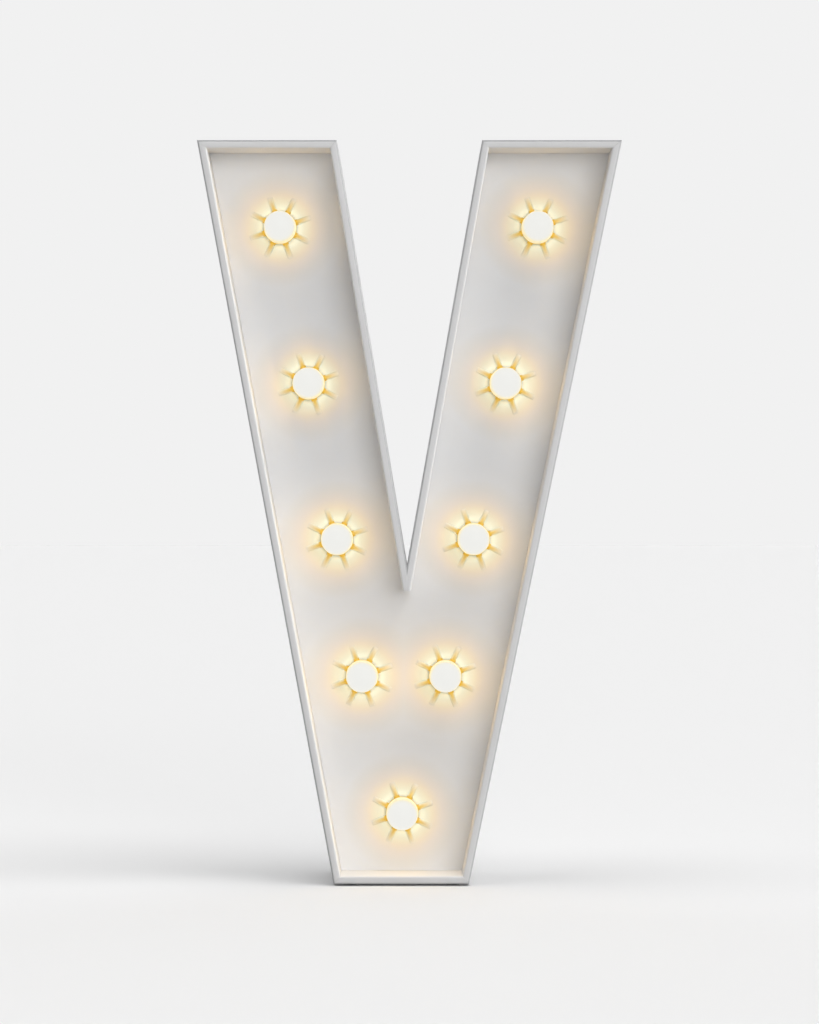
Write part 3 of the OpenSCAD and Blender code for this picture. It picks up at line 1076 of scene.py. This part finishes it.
    def build(self, opal: Material, amber: Material) -> None:
        """Builds a globe and a ring for each lamp.

        Args:
            opal: The globes' material.
            amber: The rings' material.
        """
        globe, ring = self.globe(), self.ring()
        for number, (x, z) in enumerate(self.axes, 1):
            move = Matrix.Translation((x, 0.0, z))
            ball = Bench.copy_to(globe, f"globe_{number}", move)
            dress(ball, opal, Slot.GLOBE, f"lamp_{number}", f"lamp_globe_{number}")
            ball.visible_diffuse = False
            dress(Bench.copy_to(ring, f"shade_ring_{number}", move), amber, Slot.RING, CASING, "shade_rings")
        Bench.drop(globe)
        Bench.drop(ring)

    def lights(self, colour: Colour, power: float) -> None:
        """Puts a warm light round each globe.

        Args:
            colour: The light's colour.
            power: Its power in watts.
        """
        for number, (x, z) in enumerate(self.axes, 1):
            data = bpy.data.lights.new(f"lamp_light_{number}", "POINT")
            data.color = colour
            data.energy = power
            data.shadow_soft_size = self.light_r
            light = bpy.data.objects.new(data.name, data)
            light.location = (x, self.globe_y, z)
            light.visible_camera = False
            light.visible_glossy = False
            bpy.context.scene.collection.objects.link(light)


@dataclass(frozen=True)
class Screw:
    """A cross-head screw along +Y, with the underside of its head at the origin."""

    head_d: float
    shank_d: float
    shank_len: float
    point: float
    tip: float = 0.2
    head_h: float = 0.0022
    dome: float = 0.8
    sunk: float = 0.25
    drive_w: float = 0.0009
    drive_margin: float = 0.0015

    def build(self, name: str) -> Piece:
        """Models the screw: a domed head with a sunk cross, on a shank that may end in a point.

        Args:
            name: The screw's name.

        Returns:
            The screw.
        """
        head = Bench.drum(name, self.head_d / 2, self.head_h, (0.0, self.head_h / 2, 0.0), 40, ALONG_Y)
        with Bench.edit(head):
            Bench.pick_edges(both(lambda p: p.y > self.head_h - CLOSE))
            Bench.round_over(self.head_h * self.dome, 6)
        start = self.head_h * self.sunk
        end = start - self.shank_len
        middle = (0.0, start - self.shank_len / 2, 0.0)
        shank = Bench.drum("shank", self.shank_d / 2, self.shank_len, middle, 24, ALONG_Y)
        if self.point:
            with Bench.edit(shank):
                Bench.score((0.0, end + self.point, 0.0), (0.0, 1.0, 0.0))
                Bench.pick_edges(both(lambda p: p.y < end + CLOSE))
                bpy.ops.transform.resize(value=(self.tip, 1.0, self.tip), center_override=(0.0, end, 0.0))
        Bench.combine(head, shank, Cut.UNION)
        drive = (self.head_d - 2 * self.drive_margin, self.head_h, self.drive_w)
        for turn in (0.0, math.pi / 2):
            cross = Bench.block("cross", drive, (0.0, self.head_h, 0.0), (0.0, turn, 0.0))
            Bench.combine(head, cross, Cut.DIFFERENCE)
        Bench.soften(head)
        return head


@dataclass
class Fixings:
    """The back panel's screws and the rubber pads under the base."""

    screw: Screw = Screw(0.008, 0.004, 0.0205, 0.005)
    screw_turn: float = 0.7
    pad_edge: float = 0.0008
    pad_rim: float = 0.004
    pad_hollow: float = 0.0008
    reach: float = 0.03

    def pad(self, low: Vector, high: Vector) -> Piece:
        """Models a pad at the origin: a disc with a rounded lower edge and a hollow underside.

        Args:
            low: The lowest corner of the pad's box.
            high: The highest corner of the pad's box.

        Returns:
            The pad.
        """
        radius, height = (high.x - low.x) / 2, high.z - low.z
        obj = Bench.drum("pad_pattern", radius, height, (0.0, 0.0, height / 2))
        with Bench.edit(obj):
            Bench.pick_edges(both(lambda p: p.z < CLOSE))
            Bench.round_over(self.pad_edge)
            Bench.pick_faces(Vector((0.0, 0.0, -1.0)))
            bpy.ops.mesh.inset(thickness=self.pad_rim)
            bpy.ops.transform.translate(value=(0.0, 0.0, self.pad_hollow))
        Bench.soften(obj)
        return obj

    def build(self, nodes: dict[str, Piece], steel: Material, rubber: Material) -> None:
        """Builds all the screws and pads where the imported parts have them.

        Args:
            nodes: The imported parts.
            steel: The screws' material.
            rubber: The pads' material.
        """
        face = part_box("back_panel")[1][1]
        pattern = self.screw.build("screw_pattern")
        for number, (low, high) in enumerate(solids(nodes["back_screws"], self.reach), 1):
            middle = (low + high) / 2
            turn = Matrix.Rotation(number * self.screw_turn, 4, "Y")
            move = Matrix.Translation((middle.x, face, middle.z)) @ turn
            dress(Bench.copy_to(pattern, f"back_screw_{number}", move), steel, Slot.STEEL, CASING, "back_screws")
        Bench.drop(pattern)
        feet = solids(nodes["feet"], self.reach)
        pattern = self.pad(*feet[0])
        for number, (low, high) in enumerate(feet, 1):
            middle = (low + high) / 2
            move = Matrix.Translation((middle.x, middle.y, low.z))
            dress(Bench.copy_to(pattern, f"pad_{number}", move), rubber, Slot.RUBBER, CASING, "feet")
        Bench.drop(pattern)


@dataclass
class Fitting:
    """A moulded fitting in the back panel: a rounded flange on a body with a pocket."""

    flange_t: float
    corner: float
    corner_steps: int
    body: Pair
    pocket: Pair
    edge: float = 0.0007

    def flanged(self, name: str, low: Vector, high: Vector, middle: Vector) -> Piece:
        """Models the flange with its rounded rear edge, and joins the body to it.

        Args:
            name: The fitting's name.
            low: The lowest corner of its box.
            high: The highest corner of its box.
            middle: A point on its middle line.

        Returns:
            The flange and the body.
        """
        x, z, rear = middle.x, middle.z, high.y
        obj = Bench.block(
            name, (high.x - low.x, self.flange_t, high.z - low.z), (x, rear - self.flange_t / 2, z))
        with Bench.edit(obj):
            Bench.pick_edges(runs_along_y)
            Bench.round_over(self.corner, self.corner_steps)
            Bench.pick_edges(both(lambda p: p.y > rear - CLOSE))
            Bench.round_over(self.edge)
        depth = rear - low.y - self.edge * 2
        body = Bench.block("body", (self.body[0], depth, self.body[1]), (x, low.y + depth / 2, z))
        return Bench.combine(obj, body, Cut.UNION)

    def pocket_tool(self, middle: Vector, rear: float, depth: float) -> Piece:
        """Adds the block that cuts the pocket to its depth, centred on the rear."""
        return Bench.block("pocket", (self.pocket[0], 2 * depth, self.pocket[1]), (middle.x, rear, middle.z))

    def ease_mouth(self, obj: Piece, middle: Vector, rear: float, radius: float) -> None:
        """Rounds the rear edges of the pocket and smooths the piece.

        Args:
            obj: The fitting.
            middle: A point on its middle line.
            rear: Its rear face.
            radius: The edges' radius.
        """
        half_w, half_h = (size / 2 + NEAR for size in self.pocket)
        with Bench.edit(obj):
            Bench.pick_edges(both(
                lambda p: p.y > rear - NEAR and abs(p.x - middle.x) < half_w and abs(p.z - middle.z) < half_h))
            Bench.round_over(radius, 3)
        Bench.soften(obj)


@dataclass
class Inlet(Fitting):
    """The mains inlet: a moulded housing with a socket, three blades and two screws."""

    flange_t: float = 0.003
    corner: float = 0.004
    corner_steps: int = 8
    body: Pair = (0.0272, 0.0194)
    pocket: Pair = (0.0246, 0.0168)
    socket_depth: float = 0.018
    socket_cut: float = 0.0045
    mouth: float = 0.0005
    blade_tip: float = 0.0006
    blade_reach: float = 0.0047
    blade_across: Point = (1.0, 0.0, 1.0)
    screw_spacing: float = 0.04
    screw_turn: float = 0.3
    screw: Screw = Screw(0.006, 0.003, 0.0124, 0.0)

    def housing(self, low: Vector, high: Vector) -> Piece:
        """Models the housing: a rounded flange, joined to a shell, with the socket cut out.

        Args:
            low: The lowest corner of its box.
            high: The highest corner of its box.

        Returns:
            The housing.
        """
        middle, rear = (low + high) / 2, high.y
        obj = self.flanged("inlet_housing", low, high, middle)
        tool = self.pocket_tool(middle, rear, self.socket_depth)
        with Bench.edit(tool):
            Bench.pick_edges(lambda a, b: runs_along_y(a, b) and min(a.z, b.z) > middle.z)
            bpy.ops.mesh.bevel(offset=self.socket_cut, offset_type="OFFSET", segments=1, affect="EDGES")
        Bench.combine(obj, tool, Cut.DIFFERENCE)
        self.ease_mouth(obj, middle, rear, self.mouth)
        return obj

    def blade(self, number: int, low: Vector, high: Vector) -> Piece:
        """Models one blade with an eased tip.

        Args:
            number: The blade's number.
            low: The lowest corner of its box.
            high: The highest corner of its box.

        Returns:
            The blade.
        """
        obj = Bench.block(f"inlet_blade_{number}", high - low, (low + high) / 2)
        with Bench.edit(obj):
            Bench.pick_edges(both(lambda p: p.y > high.y - CLOSE))
            Bench.round_over(self.blade_tip, 3)
        Bench.soften(obj)
        return obj

    def build(self, nodes: dict[str, Piece], plastic: Material, nickel: Material, steel: Material) -> None:
        """Builds the whole inlet.

        Args:
            nodes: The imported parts.
            plastic: The housing's material.
            nickel: The blades' material.
            steel: The screws' material.
        """
        low, high = (Vector(p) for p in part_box("inlet_body"))
        dress(self.housing(low, high), plastic, Slot.BLACK, CASING, "inlet_body")
        for number, corners in enumerate(solids(nodes["inlet_pins"], self.blade_reach, self.blade_across), 1):
            dress(self.blade(number, *corners), nickel, Slot.NICKEL, CASING, "inlet_pins")
        pattern = self.screw.build("inlet_screw_pattern")
        middle = (low + high) / 2
        for number, side in enumerate((-1, 1), 1):
            place = (middle.x + side * self.screw_spacing / 2, high.y, middle.z)
            move = Matrix.Translation(place) @ Matrix.Rotation(self.screw_turn + number, 4, "Y")
            dress(Bench.copy_to(pattern, f"inlet_screw_{number}", move), steel, Slot.STEEL, CASING, "inlet_screws")
        Bench.drop(pattern)


@dataclass
class Switch(Fitting):
    """The rocker switch beside the inlet."""

    flange_t: float = 0.002
    corner: float = 0.002
    corner_steps: int = 6
    body: Pair = (0.0184, 0.027)
    pocket: Pair = (0.0136, 0.0246)
    pocket_floor: float = 0.0708
    pin_d: float = 0.003
    pin_len: float = 0.0017
    pin_gap: float = 0.0001
    pin_sides: int = 32
    rocker_w: float = 0.013
    rocker_r: float = 0.012
    rocker_sides: int = 128
    rocker_mid: float = 0.0058
    rocker_below: float = 0.004
    rocker_round: float = 0.0005
    tilt: float = math.radians(9.0)
    top_cut: Pair = (0.02, 0.03)
    mark_at: float = 0.0068
    mark_t: float = 0.0003
    bar_size: Pair = (0.0009, 0.0042)
    bar_round: float = 0.0003
    hoop_r: float = 0.0018
    hoop_t: float = 0.0008
    hoop_parts: tuple[int, int] = (48, 12)

    def frame(self, low: Vector, high: Vector, pivot: Vector) -> Piece:
        """Models the bezel and the body, with the pocket and the pin holes cut out.

        Args:
            low: The lowest corner of their box.
            high: The highest corner of their box.
            pivot: The middle of the rocker's pins.

        Returns:
            The frame.
        """
        rear = high.y
        obj = self.flanged("switch_frame", low, high, pivot)
        Bench.combine(obj, self.pocket_tool(pivot, rear, rear - self.pocket_floor), Cut.DIFFERENCE)
        hole_r, hole_len = self.pin_d / 2 + self.pin_gap, self.pocket[0] + 2 * self.pin_len
        hole = Bench.drum("pin_hole", hole_r, hole_len, pivot, self.pin_sides, ALONG_X)
        Bench.combine(obj, hole, Cut.DIFFERENCE)
        self.ease_mouth(obj, pivot, rear, self.edge / 2)
        return obj

    def slope(self, side: int) -> tuple[Vector, Vector, float]:
        """Works out how one half of the rocker's top lies.

        Args:
            side: 1 for its upper half, -1 for its lower half.

        Returns:
            The direction along it, its normal and its turn about X.
        """
        along = Vector((0.0, math.sin(self.tilt), side * math.cos(self.tilt)))
        normal = Vector((0.0, math.cos(self.tilt), -side * math.sin(self.tilt)))
        return along, normal, -side * self.tilt

    def valley(self) -> Vector:
        """Returns the middle of the rocker's dished top."""
        return Vector((0.0, self.rocker_mid, 0.0))

    def rocker(self) -> Piece:
        """Models the rocker, level at the origin: a drum with a dished top, a flat underside and two pins.

        Returns:
            The rocker.
        """
        obj = Bench.drum("rocker_cap", self.rocker_r, self.rocker_w, LEVEL, self.rocker_sides, ALONG_X)
        valley = self.valley()
        height, length = self.top_cut
        for side in (1, -1):
            along, normal, turn = self.slope(side)
            centre = valley + along * length / 2 + normal * height / 2
            tool = Bench.block("top_cut", (2 * self.rocker_w, height, length), centre, (turn, 0.0, 0.0))
            Bench.combine(obj, tool, Cut.DIFFERENCE)
        normals = [self.slope(side)[1] for side in (1, -1)]
        on_top = both(lambda p: min(abs((p - valley).dot(normal)) for normal in normals) < CLOSE)
        with Bench.edit(obj):
            Bench.saw((0.0, -self.rocker_below, 0.0), (0.0, -1.0, 0.0))
            Bench.pick_edges(lambda a, b: on_top(a, b) and max(abs(a.z), abs(b.z)) > NEAR)
            Bench.round_over(self.rocker_round)
        pins = Bench.drum(
            "pins", self.pin_d / 2, self.rocker_w + 2 * self.pin_len, LEVEL, self.pin_sides, ALONG_X)
        Bench.combine(obj, pins, Cut.UNION)
        Bench.soften(obj)
        return obj

    def set_mark(self, obj: Piece, side: int, angle: float = 35.0) -> Piece:
        """Sets a mark on one half of the rocker's top.

        Args:
            obj: The mark, flat at the origin.
            side: 1 for the upper half, -1 for the lower half.
            angle: The angle in degrees up to which its edges are shaded smooth.

        Returns:
            The mark.
        """
        along, _, turn = self.slope(side)
        centre = self.valley() + along * self.mark_at
        obj.data.transform(Matrix.Translation(centre) @ Matrix.Rotation(turn, 4, "X"))
        Bench.soften(obj, angle)
        return obj

    def bar(self) -> Piece:
        """Models the plain bar on the rocker's upper half.

        Returns:
            The bar.
        """
        width, length = self.bar_size
        obj = Bench.block("mark_bar", (width, self.mark_t, length), LEVEL)
        with Bench.edit(obj):
            Bench.pick_edges(runs_along_y)
            Bench.round_over(self.bar_round)
        return self.set_mark(obj, 1)

    def hoop(self) -> Piece:
        """Models the plain hoop on the rocker's lower half.

        Returns:
            The hoop.
        """
        around, across = self.hoop_parts
        Bench.clear()
        bpy.ops.mesh.primitive_torus_add(
            major_radius=self.hoop_r, minor_radius=self.hoop_t / 2, major_segments=around, minor_segments=across,
            rotation=ALONG_Y)
        obj = Bench.settle("mark_hoop")
        with Bench.edit(obj):
            bpy.ops.mesh.select_all(action="SELECT")
            bpy.ops.transform.resize(value=(1.0, self.mark_t / self.hoop_t, 1.0), center_override=LEVEL)
        return self.set_mark(obj, -1, 60.0)

    def build(self, pivot: Vector, plastic: Material, white: Material) -> None:
        """Builds the whole switch.

        Args:
            pivot: The middle of the rocker's pins.
            plastic: The frame's and the rocker's material.
            white: The marks' material.
        """
        low, high = (Vector(p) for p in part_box("switch_body"))
        dress(self.frame(low, high, pivot), plastic, Slot.BLACK, CASING, "switch_body")
        move = Matrix.Translation(pivot) @ Matrix.Rotation(self.tilt, 4, "X")
        rocker = self.rocker()
        rocker.data.transform(move)
        dress(rocker, plastic, Slot.BLACK, ROCKER, "switch_rocker")
        for mark in (self.bar(), self.hoop()):
            mark.data.transform(move)
            dress(mark, white, Slot.WHITE, ROCKER)


@dataclass(frozen=True)
class Light:
    """One soft, even light.

    Its strength counts on a surface that faces it, its angle in degrees is how wide it looks, and its place is
    the direction that it stands in.
    """

    name: str
    strength: float
    angle: float
    place: Point

    def hang(self) -> None:
        """Adds the light to the scene."""
        data = bpy.data.lights.new(self.name, "SUN")
        data.energy = self.strength
        data.angle = math.radians(self.angle)
        light = bpy.data.objects.new(self.name, data)
        light.rotation_euler = Vector(self.place).to_track_quat("Z", "Y").to_euler()
        bpy.context.scene.collection.objects.link(light)


@dataclass
class Studio:
    """The floor, the light and the camera."""

    backdrop: Colour = (0.88, 0.88, 0.88)
    world_strength: float = 0.08
    lights: tuple[Light, ...] = (
        Light("key", 1.53, 45.0, (0.28, -0.95, 0.1)),
        Light("side", 0.3, 30.0, (0.94, -0.34, 0.2)),
        Light("graze", 1.1, 8.0, (0.99, -0.09, 0.03)),
        Light("top", 1.0, 28.0, (-0.16, -0.05, 1.0)),
        Light("top_wide", 0.3, 100.0, (0.0, -0.25, 1.0)),
        Light("top_side", 0.8, 30.0, (0.35, -0.25, 1.0)),
        Light("back", 1.4, 110.0, (0.0, 0.92, 0.32)))
    floor_size: float = 60.0
    floor_shown: Colour = (0.84, 0.84, 0.84)
    floor_bounce: Colour = (0.42, 0.42, 0.42)
    floor_lift: float = 0.03
    floor_roughness: float = 0.35
    camera_place: Point = (0.0, -4.54, 0.629)
    lens: float = 97.3
    sensor: float = 36.0
    shift_y: float = -0.0166

    def camera(self) -> None:
        """Sets the camera at the photograph's viewing angle."""
        data = bpy.data.cameras.new("camera")
        data.lens = self.lens
        data.sensor_width = self.sensor
        data.shift_y = self.shift_y
        camera = bpy.data.objects.new("camera", data)
        camera.location = self.camera_place
        camera.rotation_euler = ALONG_Y
        bpy.context.scene.collection.objects.link(camera)
        bpy.context.scene.camera = camera

    @staticmethod
    def seen(tree: bpy.types.NodeTree) -> Socket:
        """Tells the rays that show a surface from those that only light others.

        Args:
            tree: The nodes to add to.

        Returns:
            A value that is 1 for camera, glossy and transmission rays.
        """
        path = tree.nodes.new("ShaderNodeLightPath")
        total = path.outputs["Is Camera Ray"]
        for key in ("Is Glossy Ray", "Is Transmission Ray"):
            node = tree.nodes.new("ShaderNodeMath")
            node.operation = "MAXIMUM"
            tree.links.new(total, node.inputs[0])
            tree.links.new(path.outputs[key], node.inputs[1])
            total = node.outputs["Value"]
        return total

    def world(self) -> None:
        """Sets a pale even backdrop, and a softer share of it as light."""
        world = bpy.data.worlds.new("world")
        world.use_nodes = True
        bpy.context.scene.world = world
        tree = world.node_tree
        tree.nodes.clear()
        mix = tree.nodes.new("ShaderNodeMixShader")
        out = tree.nodes.new("ShaderNodeOutputWorld")
        for index, (colour, strength) in enumerate(((FULL, self.world_strength), (self.backdrop, 1.0)), 1):
            node = tree.nodes.new("ShaderNodeBackground")
            node.inputs["Color"].default_value = (*colour, 1.0)
            node.inputs["Strength"].default_value = strength
            tree.links.new(node.outputs[0], mix.inputs[index])
        tree.links.new(self.seen(tree), mix.inputs["Fac"])
        tree.links.new(mix.outputs[0], out.inputs["Surface"])

    def floor(self) -> None:
        """Lays the pale floor, which keeps the letter's shadow."""
        Bench.clear()
        bpy.ops.mesh.primitive_plane_add(size=self.floor_size, location=LEVEL)
        obj = Bench.settle("floor")
        g = Graph("floor_pale")
        seen = self.seen(g.tree)
        g.feed("Base Color", g.ramp(seen, ((0.0, self.floor_bounce), (1.0, self.floor_shown))))
        g.feed("Roughness", self.floor_roughness)
        g.feed("Specular IOR Level", 0.0)
        g.feed("Emission Color", (*FULL, 1.0))
        g.feed("Emission Strength", g.math("MULTIPLY", seen, self.floor_lift))
        coat(obj, g.material)

    def build(self) -> None:
        """Sets up the whole studio."""
        bpy.context.scene.view_settings.view_transform = "Standard"
        self.camera()
        self.world()
        self.floor()
        for light in self.lights:
            light.hang()


def main() -> None:
    """Builds the studio and the letter."""
    logging.basicConfig(level=logging.INFO, format="%(name)s: %(message)s")
    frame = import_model()
    nodes = frame["nodes"]
    joints = frame["record"]["behaviour"]["joints"]
    axes = tuple((j["pos_m"][0], j["pos_m"][2]) for j in joints if j["name"].endswith("_turn"))
    pivot = Vector(next(j["pos_m"] for j in joints if j["name"] == "switch_rock"))
    Studio().build()
    # The boards' paint, with painted shade on their rounded outer front edges.
    board = Paint("board_paint", (0.81, 0.81, 0.812), edge=(0.5, 0.5, 0.51)).material()
    # The face panel's paint, with the lamps' light painted round each lamp.
    lit_paint = GlowPaint("face_paint", (0.87, 0.88, 0.895), lamps=axes)
    face = lit_paint.material()
    steel = Metal("zinc_steel", (0.62, 0.62, 0.64), 0.3).material()
    nickel = Metal("nickel", (0.66, 0.62, 0.56), 0.22).material()
    brass = Metal("brass", (0.72, 0.52, 0.22), 0.26).material()
    black = Moulded("black_plastic", (0.022, 0.022, 0.024), 0.4).material()
    cream = Moulded("cream_plastic", (0.78, 0.74, 0.64), 0.42, variation=0.05).material()
    white = Moulded("white_plastic", (0.82, 0.81, 0.78), 0.4, variation=0.04).material()
    rubber = Moulded("rubber", (0.03, 0.03, 0.03), 0.7, grain=900.0, depth=0.0003).material()
    sheath = Moulded("cable_sheath", (0.76, 0.75, 0.72), 0.5, variation=0.05).material()
    timber = Timber("planed_pine", (0.66, 0.5, 0.31), (0.5, 0.34, 0.18)).material()
    Casing().build(board)
    lamps = Lamps(axes)
    lamps.build(Opal("opal").material(), Amber("amber", lit_paint).material())
    lamps.lights((1.0, 0.64, 0.2), 0.125)
    Fixings().build(nodes, steel, rubber)
    Inlet().build(nodes, black, nickel, steel)
    Switch().build(pivot, black, white)
    finishes = {
        "face_panel": face, "back_panel": board, "face_battens": timber, "back_battens": timber,
        "lampholders": cream, "screw_shells": brass, "wiring": sheath, "inlet_nuts": steel, "switch_tabs": nickel}
    for number in range(1, len(axes) + 1):
        finishes[f"centre_contact_{number}"] = brass
        finishes[f"lamp_housing_{number}"] = white
        finishes[f"lamp_cap_{number}"] = nickel
    for name, finish in finishes.items():
        coat(nodes[name], finish)
        LOG.info("%s finished", name)


if __name__ == "__main__":
    main()
